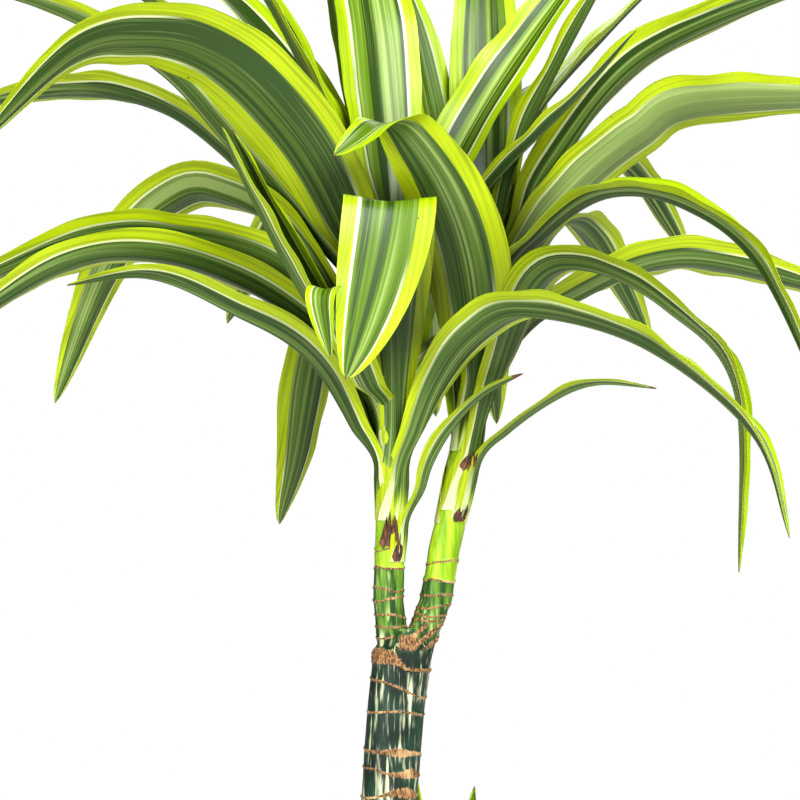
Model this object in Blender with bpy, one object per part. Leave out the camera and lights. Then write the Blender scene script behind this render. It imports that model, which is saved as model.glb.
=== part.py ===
"""A potted corn plant: a striped Dracaena fragrans whose cane forks into two crowns of leaves.

The plant's frame has its origin at the middle of the pot's underside, with +X to the right,
+Y to the back and +Z up. Every length in this file is in millimetres until a mesh is made.
"""

import math
import random
from typing import NamedTuple

import bpy
import numpy as np
from mathutils import Vector

MM = 0.001
FIT_GAP = 0.3            # clearance between pieces that touch

# Pot: a plain tapered grow pot with a rolled rim.
POT_HEIGHT = 190
POT_BASE_RADIUS = 76
POT_MOUTH_RADIUS = 100   # outside, just under the rim
POT_WALL = 3
POT_FLOOR = 4
RIM_HEIGHT = 16
RIM_OVERHANG = 5
POT_SIDES = 40
EDGE_ROUNDING = 2
DRAIN_HOLES = 6
DRAIN_RING_RADIUS = 52
DRAIN_HOLE_RADIUS = 6
DRAIN_HOLE_SIDES = 12

# Soil: fills the pot to well below the rim, which leaves room for water.
SOIL_TOP = 164
SOIL_LUMP = 2.0          # how far its surface rises and dips
SOIL_RINGS = (0.86, 0.7, 0.54, 0.38)    # across its surface, as shares of its radius
ROOTED_DEPTH = 70        # how far a stem goes down into the soil
SOCKET_SIDES = 28

# Stems: the points down their middles are (x, y, z, radius).
FORK_HEIGHT = 492
LEAFY_FROM = 565         # leaves still cover the stems above this height
TRUNK = ((-5, 0, SOIL_TOP - ROOTED_DEPTH, 19), (-6, 0, 210, 18.5), (-5, 0, 300, 17.5),
         (-1, 0, 400, 17), (4, 0, 460, 17.5), (8, 0, FORK_HEIGHT, 18), (9, 1, 506, 12))
LEFT_STEM = ((4, -1, 480, 9.5), (1, -2, 503, 9.5), (-1, -4, 523, 9.2), (0, -6, 560, 9),
             (1, -8, 596, 9), (2, -10, 633, 8.2), (3, -12, 682, 7), (5, -14, 740, 5))
RIGHT_STEM = ((12, 1, 478, 9.5), (19, 2, 500, 10), (28, 4, 523, 9.8), (33, 6, 553, 9.6),
              (40, 8, 584, 9.4), (46, 10, 614, 9), (51, 12, 645, 8.2), (55, 14, 682, 7),
              (60, 16, 740, 5))
SIDE_SHOOT = ((44, 32, SOIL_TOP - ROOTED_DEPTH, 8), (44, 32, 180, 8), (43, 32, 240, 6))
STEMS = {"left": LEFT_STEM, "right": RIGHT_STEM, "side": SIDE_SHOOT}
STEM_SIDES = 14
RING_SPACING = 17        # between the scars that old leaves leave on a stem
RING_SWELL = 0.5
RING_HALF_HEIGHT = 3

# Leaves: thin blades, folded up into a V along the midrib.
BLADE_STATIONS = 13
BLADE_THICKNESS = 1.1    # at the midrib; the margins are thin
CLASP_WIDTH = 9          # of a blade where it meets its stem
OPENING_PART = 0.25      # share of the length over which the blade opens from its base
SLENDERNESS = 1.3        # the larger, the faster a blade narrows away from its widest place
DRIFT_GROWTH = 3         # the larger, the nearer the tip a blade strays from its plane
MARGINS = (0, 2)         # which of the four corners of a blade's section are its margins


class Leaf(NamedTuple):
    """One leaf.

    height is where it leaves its stem. azimuth is the way it heads, in degrees: 0 is right,
    90 back, 180 left and 270 front. path holds the points (out, up), from its base, that its
    midrib passes through in the upright plane of that azimuth. fold is how far each half of
    the blade stands up from flat, in degrees. twist holds how far the blade has turned about
    its midrib, in degrees, at even steps from base to tip. drift is how far the tip has
    strayed out of the plane, along (x, y). widest is where along the blade it is widest.
    """

    stem: str
    height: float
    azimuth: float
    width: float
    path: tuple
    fold: float = 32
    twist: tuple = (0, 0)
    drift: tuple = (0, 0)
    widest: float = 0.45


LEAVES = {
    # The left crown, from its lowest leaf up.
    "left_leaf_01": Leaf("left", 562, 352, 24, ((10, 22), (17, 44), (30, 66), (48, 85), (72, 99)),
                         fold=50),
    "left_leaf_02": Leaf("left", 594, 316, 46,
                         ((30, 58), (63, 89), (104, 100), (192, 81), (272, 32), (300, -26)),
                         twist=(-20, -25)),
    "left_leaf_03": Leaf("left", 598, 188, 44, ((40, 69), (90, 100), (138, 120), (188, 116)),
                         twist=(25, 10)),
    "left_leaf_04": Leaf("left", 604, 130, 46, ((22, 50), (45, 82), (63, 70), (82, 5), (101, -37)),
                         fold=20),
    "left_leaf_05": Leaf("left", 612, 276, 56,
                         ((12, 50), (23, 100), (35, 138), (50, 150), (62, 138), (74, 45)),
                         fold=8, drift=(-36, 0), widest=0.62),
    "left_leaf_06": Leaf("left", 622, 180, 44,
                         ((25, 50), (72, 87), (132, 108), (193, 102), (280, 48)),
                         twist=(35, 35)),
    "left_leaf_07": Leaf("left", 630, 242, 28,
                         ((34, 33), (59, 63), (74, 80), (81, 72), (70, 40)),
                         fold=15),
    "left_leaf_08": Leaf("left", 640, 218, 50, ((33, 32), (72, 82), (108, 140), (120, 166)),
                         twist=(-35, -35)),
    "left_leaf_09": Leaf("left", 648, 175, 43, ((60, 73), (124, 93), (180, 93), (270, 60)),
                         twist=(35, 40)),
    "left_leaf_10": Leaf("left", 640, 52, 28, ((10, 12), (28, 28), (58, 44), (80, 48))),
    "left_leaf_11": Leaf("left", 657, 163, 46,
                         ((38, 60), (68, 94), (100, 111), (130, 113), (173, 75), (213, -14)),
                         twist=(10, 45, 45)),
    "left_leaf_12": Leaf("left", 665, 215, 38,
                         ((28, 20), (61, 60), (85, 97), (109, 139)),
                         twist=(-30, -30), drift=(0, -10)),
    "left_leaf_13": Leaf("left", 668, 60, 30, ((12, 30), (30, 60), (48, 84))),
    "left_leaf_14": Leaf("left", 644, 134, 46,
                         ((50, 66), (100, 117), (147, 155), (212, 188), (300, 203), (420, 200)),
                         twist=(35, 35), drift=(0, 10)),
    "left_leaf_15": Leaf("left", 684, 214, 56,
                         ((42, 91), (84, 140), (125, 166), (167, 172), (216, 161), (280, 106)),
                         fold=14, twist=(35, 50)),
    "left_leaf_16": Leaf("left", 700, 140, 54,
                         ((28, 22), (85, 83), (126, 127), (159, 171), (228, 214)),
                         twist=(30, 30)),
    "left_leaf_17": Leaf("left", 694, 164, 48,
                         ((28, 29), (59, 62), (100, 106), (146, 154), (211, 190), (268, 209)),
                         twist=(30, 30)),
    "left_leaf_18": Leaf("left", 706, 135, 50, ((30, 60), (75, 125), (145, 190), (215, 225))),
    "left_leaf_19": Leaf("left", 710, 172, 44, ((14, 50), (40, 110), (80, 186), (134, 245))),
    "left_leaf_20": Leaf("left", 716, 20, 44, ((12, 40), (33, 79), (66, 131), (130, 215)),
                         twist=(40, 40)),
    "left_leaf_21": Leaf("left", 722, 110, 46, ((20, 55), (48, 110), (92, 176), (130, 225))),
    "left_leaf_22": Leaf("left", 732, 112, 54, ((10, 50), (22, 100), (40, 160), (100, 275)),
                         fold=12),
    "left_leaf_23": Leaf("left", 712, 358, 30, ((25, 30), (58, 70), (107, 119), (139, 157)),
                         fold=45),
    # The left crown's leaves that reach back.
    "left_leaf_24": Leaf("left", 634, 84, 46, ((38, 30), (85, 68), (150, 78), (260, 0))),
    "left_leaf_25": Leaf("left", 646, 114, 46, ((30, 65), (80, 110), (150, 122), (265, 50))),
    "left_leaf_26": Leaf("left", 682, 95, 48, ((25, 70), (70, 125), (140, 160), (270, 130))),
    # The right crown, from its lowest leaf up.
    "right_leaf_01": Leaf("right", 597, 348, 24, ((16, 23), (47, 46), (75, 57), (112, 55))),
    "right_leaf_02": Leaf("right", 612, 325, 44,
                          ((15, 42), (45, 103), (83, 110), (135, 86), (181, 40), (185, -68)),
                          twist=(-20, -25)),
    "right_leaf_03": Leaf("right", 622, 20, 44,
                          ((10, 30), (28, 61), (59, 82), (137, 108), (262, 85)),
                          twist=(-35, -40)),
    "right_leaf_04": Leaf("right", 648, 272, 54,
                          ((22, 50), (44, 100), (58, 135), (70, 157), (88, 158), (98, 140)),
                          fold=15, drift=(-88, -10)),
    "right_leaf_05": Leaf("right", 656, 321, 50,
                          ((22, 62), (50, 90), (95, 110), (147, 102), (200, 66), (253, -25)),
                          twist=(-5, 25, 0, -35, -35)),
    "right_leaf_06": Leaf("right", 664, 52, 42,
                          ((28, 65), (70, 112), (112, 130), (156, 127), (230, 68))),
    "right_leaf_07": Leaf("right", 694, 354, 48,
                          ((20, 44), (54, 83), (90, 112), (127, 131), (248, 134)),
                          fold=18, twist=(-40, -45)),
    "right_leaf_08": Leaf("right", 698, 6, 50, ((20, 50), (40, 90), (99, 158), (220, 212)),
                          twist=(-35, -35)),
    "right_leaf_09": Leaf("right", 720, 54, 38, ((16, 50), (49, 100), (131, 158), (197, 200)),
                          twist=(-25, -25)),
    "right_leaf_10": Leaf("right", 712, 345, 38, ((8, 55), (18, 86), (34, 122), (90, 225))),
    "right_leaf_11": Leaf("right", 730, 90, 46, ((14, 50), (26, 100), (44, 165), (75, 230)),
                          fold=12),
    "right_leaf_12": Leaf("right", 712, 138, 40, ((16, 45), (34, 97), (55, 168), (80, 225))),
    "right_leaf_13": Leaf("right", 700, 122, 38, ((26, 55), (52, 108), (84, 178), (115, 235))),
    # The right crown's leaves that reach back.
    "right_leaf_14": Leaf("right", 604, 84, 46, ((35, 55), (85, 95), (155, 102), (250, 25))),
    "right_leaf_15": Leaf("right", 638, 62, 46, ((30, 60), (80, 105), (150, 115), (255, 45))),
    "right_leaf_16": Leaf("right", 686, 80, 46, ((28, 70), (72, 125), (140, 158), (260, 140))),
    # The side shoot's leaves.
    "side_leaf_01": Leaf("side", 224, 175, 26, ((8, 60), (14, 120), (23, 196)), fold=45),
    "side_leaf_02": Leaf("side", 230, 60, 26, ((4, 60), (7, 120), (12, 175)), fold=45),
    "side_leaf_03": Leaf("side", 196, 300, 28, ((20, 50), (60, 85), (110, 90), (150, 65))),
    "side_leaf_04": Leaf("side", 205, 20, 28, ((20, 55), (60, 95), (110, 100), (160, 70))),
    "side_leaf_05": Leaf("side", 214, 100, 28, ((20, 55), (55, 100), (105, 110), (155, 85))),
}

COLOURS = {
    "pot": (0.045, 0.047, 0.05),
    "soil": (0.06, 0.035, 0.02),
    "bark": (0.12, 0.17, 0.06),
    "leaf": (0.33, 0.5, 0.06),
}
ROUGHNESS = {"pot": 0.55, "soil": 0.95, "bark": 0.6, "leaf": 0.38}


def clear_scene():
    for thing in list(bpy.data.objects):
        bpy.data.objects.remove(thing, do_unlink=True)


def make_material(name, kind):
    material = bpy.data.materials.new(f"{name}_{kind}")
    material.use_nodes = True
    shader = material.node_tree.nodes["Principled BSDF"]
    shader.inputs["Base Color"].default_value = (*COLOURS[kind], 1)
    shader.inputs["Roughness"].default_value = ROUGHNESS[kind]
    shader.inputs["Metallic"].default_value = 0
    return material


def make_object(name, kind, vertices, faces, parent):
    """A closed mesh, its vertices given in millimetres and its faces turned outwards."""
    mesh = bpy.data.meshes.new(name)
    mesh.from_pydata([Vector(v) * MM for v in vertices], [], faces)
    made = bpy.data.objects.new(name, mesh)
    bpy.context.scene.collection.objects.link(made)
    made.data.materials.append(make_material(name, kind))
    made.parent = parent
    return made


def cut_or_join(target, other, operation):
    """Applies an exact Boolean to target and removes the other object."""
    modifier = target.modifiers.new("Boolean", "BOOLEAN")
    modifier.operation = operation
    modifier.solver = "EXACT"
    modifier.object = other
    bpy.context.view_layer.objects.active = target
    bpy.ops.object.modifier_apply(modifier=modifier.name)
    bpy.data.objects.remove(other, do_unlink=True)


def shade_smooth(made, degrees):
    made.data.shade_smooth()
    made.data.set_sharp_from_angle(angle=math.radians(degrees))


# Stems

def stem_at(stem, height):
    """Where a stem's middle is at a height, and its radius there."""
    points = np.array(STEMS[stem], float)
    return [float(np.interp(height, points[:, 2], points[:, i])) for i in (0, 1, 3)]


def ring_of_points(x, y, z, radius, sides):
    turns = [math.tau * i / sides for i in range(sides)]
    return [(x + radius * math.cos(t), y + radius * math.sin(t), z) for t in turns]


def bridge(rings, sides):
    """Faces of a closed tube through rings of points, with flat ends."""
    faces = [tuple(reversed(range(sides)))]
    for ring in range(len(rings) - 1):
        low = ring * sides
        for side in range(sides):
            after = (side + 1) % sides
            faces.append((low + side, low + after, low + sides + after, low + sides + side))
    last = (len(rings) - 1) * sides
    faces.append(tuple(range(last, last + sides)))
    return faces


def make_stem(name, points, scarred_to, parent):
    """A tube along a stem's middle, swollen at the scar of each leaf it has lost."""
    points = np.array(points, float)
    heights = set(points[:, 2])
    ring = max(points[0, 2], SOIL_TOP) + RING_SPACING
    swollen = []
    while ring < scarred_to:
        heights.update((ring - RING_HALF_HEIGHT, ring, ring + RING_HALF_HEIGHT))
        swollen.append(ring)
        ring += RING_SPACING
    rings = []
    for z in sorted(heights):
        x, y, radius = (float(np.interp(z, points[:, 2], points[:, i])) for i in (0, 1, 3))
        radius += RING_SWELL if z in swollen else 0
        rings.append(ring_of_points(x, y, z, radius, STEM_SIDES))
    vertices = [point for ring in rings for point in ring]
    return make_object(name, "bark", vertices, bridge(rings, STEM_SIDES), parent)


def make_forked_cane(parent):
    """The trunk and the two stems that it forks into, which grew as one piece."""
    cane = make_stem("cane", TRUNK, FORK_HEIGHT, parent)
    for points in (LEFT_STEM, RIGHT_STEM):
        cut_or_join(cane, make_stem("branch", points, LEAFY_FROM, parent), "UNION")
    shade_smooth(cane, 40)
    return cane


def cut_upright_hole(target, place, radius, heights, sides):
    """Takes a round hole out of target, about an upright axis through place."""
    rings = [ring_of_points(*place, z, radius, sides) for z in heights]
    vertices = [point for ring in rings for point in ring]
    cutter = make_object("cutter", "pot", vertices, bridge(rings, sides), None)
    cutter.hide_render = True
    cutter.display_type = "WIRE"
    cut_or_join(target, cutter, "DIFFERENCE")


# Pot and soil

def lathe(profile, sides):
    """A solid turned from a profile of (radius, z) that starts and ends on the axis."""
    vertices = [(0, 0, profile[0][1])]
    for radius, z in profile[1:-1]:
        vertices += ring_of_points(0, 0, z, radius, sides)
    vertices.append((0, 0, profile[-1][1]))
    top = len(vertices) - 1
    faces = []
    for side in range(sides):
        after = (side + 1) % sides
        faces.append((0, 1 + after, 1 + side))
        for ring in range(len(profile) - 3):
            low = 1 + ring * sides
            faces.append((low + side, low + after, low + sides + after, low + sides + side))
        faces.append((top - sides + side, top - sides + after, top))
    return vertices, faces


def pot_radius(z):
    """The outside of the pot's wall at a height."""
    wall_top = POT_HEIGHT - RIM_HEIGHT
    return POT_BASE_RADIUS + (POT_MOUTH_RADIUS - POT_BASE_RADIUS) * z / wall_top


def make_pot(parent):
    rim_bottom = POT_HEIGHT - RIM_HEIGHT
    rim_radius = POT_MOUTH_RADIUS + RIM_OVERHANG
    inner_mouth = pot_radius(POT_HEIGHT) - POT_WALL
    profile = ((0, 0),
               (POT_BASE_RADIUS - EDGE_ROUNDING, 0),
               (POT_BASE_RADIUS, EDGE_ROUNDING),
               (pot_radius(rim_bottom) - 0.3, rim_bottom - EDGE_ROUNDING),
               (rim_radius, rim_bottom),
               (rim_radius + 1, POT_HEIGHT - 3),
               (rim_radius - 1, POT_HEIGHT),
               (inner_mouth + 1.5, POT_HEIGHT),
               (inner_mouth, POT_HEIGHT - EDGE_ROUNDING),
               (pot_radius(POT_FLOOR) - POT_WALL, POT_FLOOR),
               (0, POT_FLOOR))
    pot = make_object("pot", "pot", *lathe(profile, POT_SIDES), parent)
    for hole in range(DRAIN_HOLES):
        turn = math.tau * (hole + 0.4) / DRAIN_HOLES
        x, y = DRAIN_RING_RADIUS * math.cos(turn), DRAIN_RING_RADIUS * math.sin(turn)
        cut_upright_hole(pot, (x, y), DRAIN_HOLE_RADIUS, (-2, POT_FLOOR + 2), DRAIN_HOLE_SIDES)
    shade_smooth(pot, 35)
    return pot


def make_soil(parent):
    """A plug of potting soil with a lumpy top and a socket for each stem."""
    chance = random.Random(7)
    bottom = POT_FLOOR + FIT_GAP

    def radius_inside(z):
        return pot_radius(z) - POT_WALL - 2 * FIT_GAP

    profile = [(0, bottom), (radius_inside(bottom), bottom), (radius_inside(SOIL_TOP), SOIL_TOP)]
    profile += [(radius_inside(SOIL_TOP) * share, SOIL_TOP) for share in SOIL_RINGS]
    profile.append((0, SOIL_TOP))
    vertices, faces = lathe(profile, POT_SIDES)
    lumpy = [(x, y, z + (chance.uniform(-SOIL_LUMP, SOIL_LUMP) if z == SOIL_TOP else 0))
             for x, y, z in vertices]
    soil = make_object("soil", "soil", lumpy, faces, parent)
    for x, y, root_end, radius in (TRUNK[0], SIDE_SHOOT[0]):
        heights = (root_end - FIT_GAP, SOIL_TOP + 20)
        cut_upright_hole(soil, (x, y), radius + FIT_GAP, heights, SOCKET_SIDES)
    return soil


# Leaves

def smooth_path(points, count):
    """Evenly spaced points on a Catmull-Rom curve through the given ones."""
    points = np.array(points, float)
    padded = np.vstack((2 * points[0] - points[1], points, 2 * points[-1] - points[-2]))
    dense = []
    for a, b, c, d in zip(padded, padded[1:], padded[2:], padded[3:]):
        for t in np.linspace(0, 1, 24, endpoint=False):
            dense.append(0.5 * (2 * b + (c - a) * t + (2 * a - 5 * b + 4 * c - d) * t ** 2
                                + (3 * b - a - 3 * c + d) * t ** 3))
    dense.append(points[-1])
    dense = np.array(dense)
    travelled = np.concatenate(([0], np.cumsum(np.linalg.norm(np.diff(dense, axis=0), axis=1))))
    wanted = np.linspace(0, travelled[-1], count)
    return np.column_stack([np.interp(wanted, travelled, dense[:, i]) for i in (0, 1)])


def blade_width(share, widest):
    """A blade's width as a share of its widest, at a share of the way along it."""
    bulge = math.sin(math.pi * share ** (math.log(0.5) / math.log(widest)))
    return max(bulge, 0) ** SLENDERNESS


def leaf_frames(leaf, stations):
    """The midrib's points with the blade's side and up directions at each."""
    x, y, radius = stem_at(leaf.stem, leaf.height)
    turn = math.radians(leaf.azimuth)
    heading = np.array((math.cos(turn), math.sin(turn), 0))
    across = np.array((-math.sin(turn), math.cos(turn), 0))
    base = np.array((x, y, leaf.height)) + heading * (radius + FIT_GAP)
    flat = smooth_path(((0, 0),) + leaf.path, stations)
    share = np.linspace(0, 1, stations)
    middle = (base + np.outer(flat[:, 0], heading) + np.outer(flat[:, 1], (0, 0, 1))
              + np.outer(share ** DRIFT_GROWTH, (*leaf.drift, 0)))
    along = np.gradient(middle, axis=0)
    along /= np.linalg.norm(along, axis=1)[:, None]
    side = across - (along @ across)[:, None] * along
    side /= np.linalg.norm(side, axis=1)[:, None]
    up = np.cross(along, side)
    twist = np.radians(np.interp(share, np.linspace(0, 1, len(leaf.twist)), leaf.twist))
    twist *= np.minimum(share / OPENING_PART, 1)
    cos, sin = np.cos(twist)[:, None], np.sin(twist)[:, None]
    return share, middle, side * cos + up * sin, up * cos - side * sin


def make_leaf(name, leaf, parent):
    """A blade with a chevron section: two thin halves that meet at a thicker midrib."""
    share, middle, side, up = leaf_frames(leaf, BLADE_STATIONS)
    vertices = []
    for i in range(BLADE_STATIONS - 1):
        opened = min(share[i] / OPENING_PART, 1)
        half = max(leaf.width * blade_width(share[i], leaf.widest), CLASP_WIDTH * (1 - opened)) / 2
        fold = math.radians(leaf.fold * opened)
        reach = side[i] * half * math.cos(fold)
        rise = up[i] * half * math.sin(fold)
        vertices += [middle[i] - reach + rise,
                     middle[i],
                     middle[i] + reach + rise,
                     middle[i] - up[i] * BLADE_THICKNESS]
    vertices.append(middle[-1])
    tip = len(vertices) - 1
    faces = [(0, 1, 3), (1, 2, 3)]
    sides = ((0, 1), (1, 2), (2, 3), (3, 0))
    for low in range(0, tip - 4, 4):
        high = low + 4
        for a, b in sides:
            # Both faces of a blade are split the same way, so that they never cross.
            if a in MARGINS:
                faces += [(low + a, high + b, low + b), (low + a, high + a, high + b)]
            else:
                faces += [(low + a, high + a, low + b), (high + a, high + b, low + b)]
    faces += [(tip - 4 + a, tip, tip - 4 + b) for a, b in sides]
    made = make_object(name, "leaf", vertices, faces, parent)
    shade_smooth(made, 60)
    return made


def main():
    clear_scene()
    plant = bpy.data.objects.new("corn_plant", None)
    bpy.context.scene.collection.objects.link(plant)
    make_pot(plant)
    make_soil(plant)
    make_forked_cane(plant)
    shade_smooth(make_stem("side_shoot", SIDE_SHOOT, 0, plant), 40)
    for name, leaf in LEAVES.items():
        make_leaf(name, leaf, plant)


if __name__ == "__main__":
    main()
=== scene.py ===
"""The potted corn plant as it looks: a striped Dracaena whose cane forks into two leafy crowns.

Positions are in the CAD model's frame: the origin is at the middle of the pot's underside, with
+X to the right, +Y to the back and +Z up. Lengths are in millimetres until a mesh is made.
"""

import itertools
import math
import random
from types import SimpleNamespace
from typing import NamedTuple

import bpy
import numpy as np
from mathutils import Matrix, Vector


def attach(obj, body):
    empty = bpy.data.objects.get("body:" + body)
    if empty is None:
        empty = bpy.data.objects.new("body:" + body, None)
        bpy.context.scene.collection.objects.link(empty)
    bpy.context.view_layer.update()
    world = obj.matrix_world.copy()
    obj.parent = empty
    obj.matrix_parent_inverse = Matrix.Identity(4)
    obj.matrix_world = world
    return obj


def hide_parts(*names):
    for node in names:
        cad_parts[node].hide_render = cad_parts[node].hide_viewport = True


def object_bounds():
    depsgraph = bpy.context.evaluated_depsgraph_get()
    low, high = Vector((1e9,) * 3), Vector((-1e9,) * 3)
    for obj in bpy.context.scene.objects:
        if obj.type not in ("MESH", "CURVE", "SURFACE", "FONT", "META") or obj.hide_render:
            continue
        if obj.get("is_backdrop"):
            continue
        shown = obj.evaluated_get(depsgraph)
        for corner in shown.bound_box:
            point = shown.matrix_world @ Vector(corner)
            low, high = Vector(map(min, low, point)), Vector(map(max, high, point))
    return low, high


# Studio, in metres
FLOOR_SIZE = 7
SURROUND_LIGHT = 0.14    # how strongly the white surround lights the plant
AIM = Vector((0, 0, 0.68))      # where the lamps point
CAMERA_DISTANCE = 2.6
CAMERA_HEIGHT = 0.645
CAMERA_SIDE = 0.0061     # how far the camera stands to the right
VIEW_WIDTH = 0.488       # across the picture, at the stems
SENSOR_WIDTH = 36        # of the camera, in millimetres

MM = 0.001
FIT_GAP = 0.3            # between pieces that touch

# Pot
POT_HEIGHT = 190
POT_BASE_RADIUS = 76
POT_MOUTH_RADIUS = 100   # outside, just under the rim
POT_WALL = 3
POT_FLOOR = 4
RIM_HEIGHT = 16
RIM_OVERHANG = 5
POT_SIDES = 120
DRAIN_HOLES = 6
DRAIN_RING_RADIUS = 52
DRAIN_HOLE_RADIUS = 6
DRAIN_HOLE_SIDES = 24

# Soil
SOIL_TOP = 164
SOIL_LUMP = 2.5          # how far its surface rises and dips
SOIL_RINGS = 48
SOIL_SIDES = 140
SOIL_CRUMBS = 900
BARK_CHIPS = 90
CHUNK_MARGIN = 4         # kept clear between loose crumbs and the pot's wall

# Stems: the points down their middles are (x, y, z, radius).
TRUNK = ((-5, 0, 94, 19), (-6, 0, 210, 18.5), (-5, 0, 300, 17.5), (-1, 0, 400, 17),
         (4, 0, 460, 17.5), (8, 0, 492, 18), (9, 1, 506, 12))
LEFT_STEM = ((4, -1, 480, 9.5), (1, -2, 503, 9.5), (-1, -4, 523, 9.2), (0, -6, 560, 9),
             (1, -8, 596, 9), (2, -10, 633, 8.2), (3, -12, 682, 7), (5, -14, 740, 5))
RIGHT_STEM = ((12, 1, 478, 9.5), (19, 2, 500, 10), (28, 4, 523, 9.8), (33, 6, 553, 9.6),
              (40, 8, 584, 9.4), (46, 10, 614, 9), (51, 12, 645, 8.2), (55, 14, 682, 7),
              (60, 16, 740, 5))
SIDE_SHOOT = ((44, 32, 94, 8), (44, 32, 180, 8), (43, 32, 240, 6))
STEMS = {"left": LEFT_STEM, "right": RIGHT_STEM, "side": SIDE_SHOOT}
STEM_SIDES = 72
STEM_STEP = 0.6          # between the rings of a stem's mesh
RING_WOBBLE = 1.7        # how far a leaf scar strays up and down
FOLD_SPACING = 0.9       # how closely the folds in the fork's crust follow each other

# Leaves
BLADE_ROWS = 76          # along a blade
BLADE_COLUMNS = 19       # across it
BLADE_THICKNESS = 0.7    # at the midrib
MARGIN_THICKNESS = 0.25
BLADE_FULLNESS = 0.64    # the smaller, the longer a blade keeps its width towards its tip
OPENING_PART = 0.25      # share of the length over which a blade opens
OPENING_FOLD = 55        # degrees that its halves stand up where it leaves its stem
DRIFT_GROWTH = 3         # the larger, the nearer the tip a blade strays from its plane
CLASP_LENGTH = 34        # over which a blade comes free of its stem
CLASP_WIDTH = 30         # of a blade at its foot
CLASP_SPREAD = 80        # degrees that a blade's foot reaches round its stem, to each side
SHEATH_ROWS = 10         # down the sheath, with which a leaf clasps its stem
SHEATH_LENGTHS = {"left": 22, "right": 34, "side": 18}      # of full leaves, by their stem
SHEATH_SPREAD = 150      # degrees that a full sheath's foot reaches round, to each side
SMALLEST_SHEATH = 0.7    # a narrow leaf's sheath, against a full one's
PALE_LENGTH = 22         # how much of a sheath, from its foot, pales to lime and cream
FULL_WIDTH = 44          # leaves at least this wide clasp their stem fully


class Leaf(NamedTuple):
    """One leaf.

    height is where it leaves its stem. azimuth is the way it heads, in degrees: 0 is right,
    90 back, 180 left and 270 front. path holds the points (out, up), from its base, that its
    midrib passes through in the upright plane of that azimuth. fold is how far each half of
    the blade stands up from flat, in degrees. twist holds how far the blade has turned about
    its midrib, in degrees, at even steps from base to tip. drift is how far the tip has
    strayed out of the plane, along (x, y). widest is where along the blade it is widest.
    """

    stem: str
    height: float
    azimuth: float
    width: float
    path: tuple
    fold: float = 32
    twist: tuple = (0, 0)
    drift: tuple = (0, 0)
    widest: float = 0.45


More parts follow.
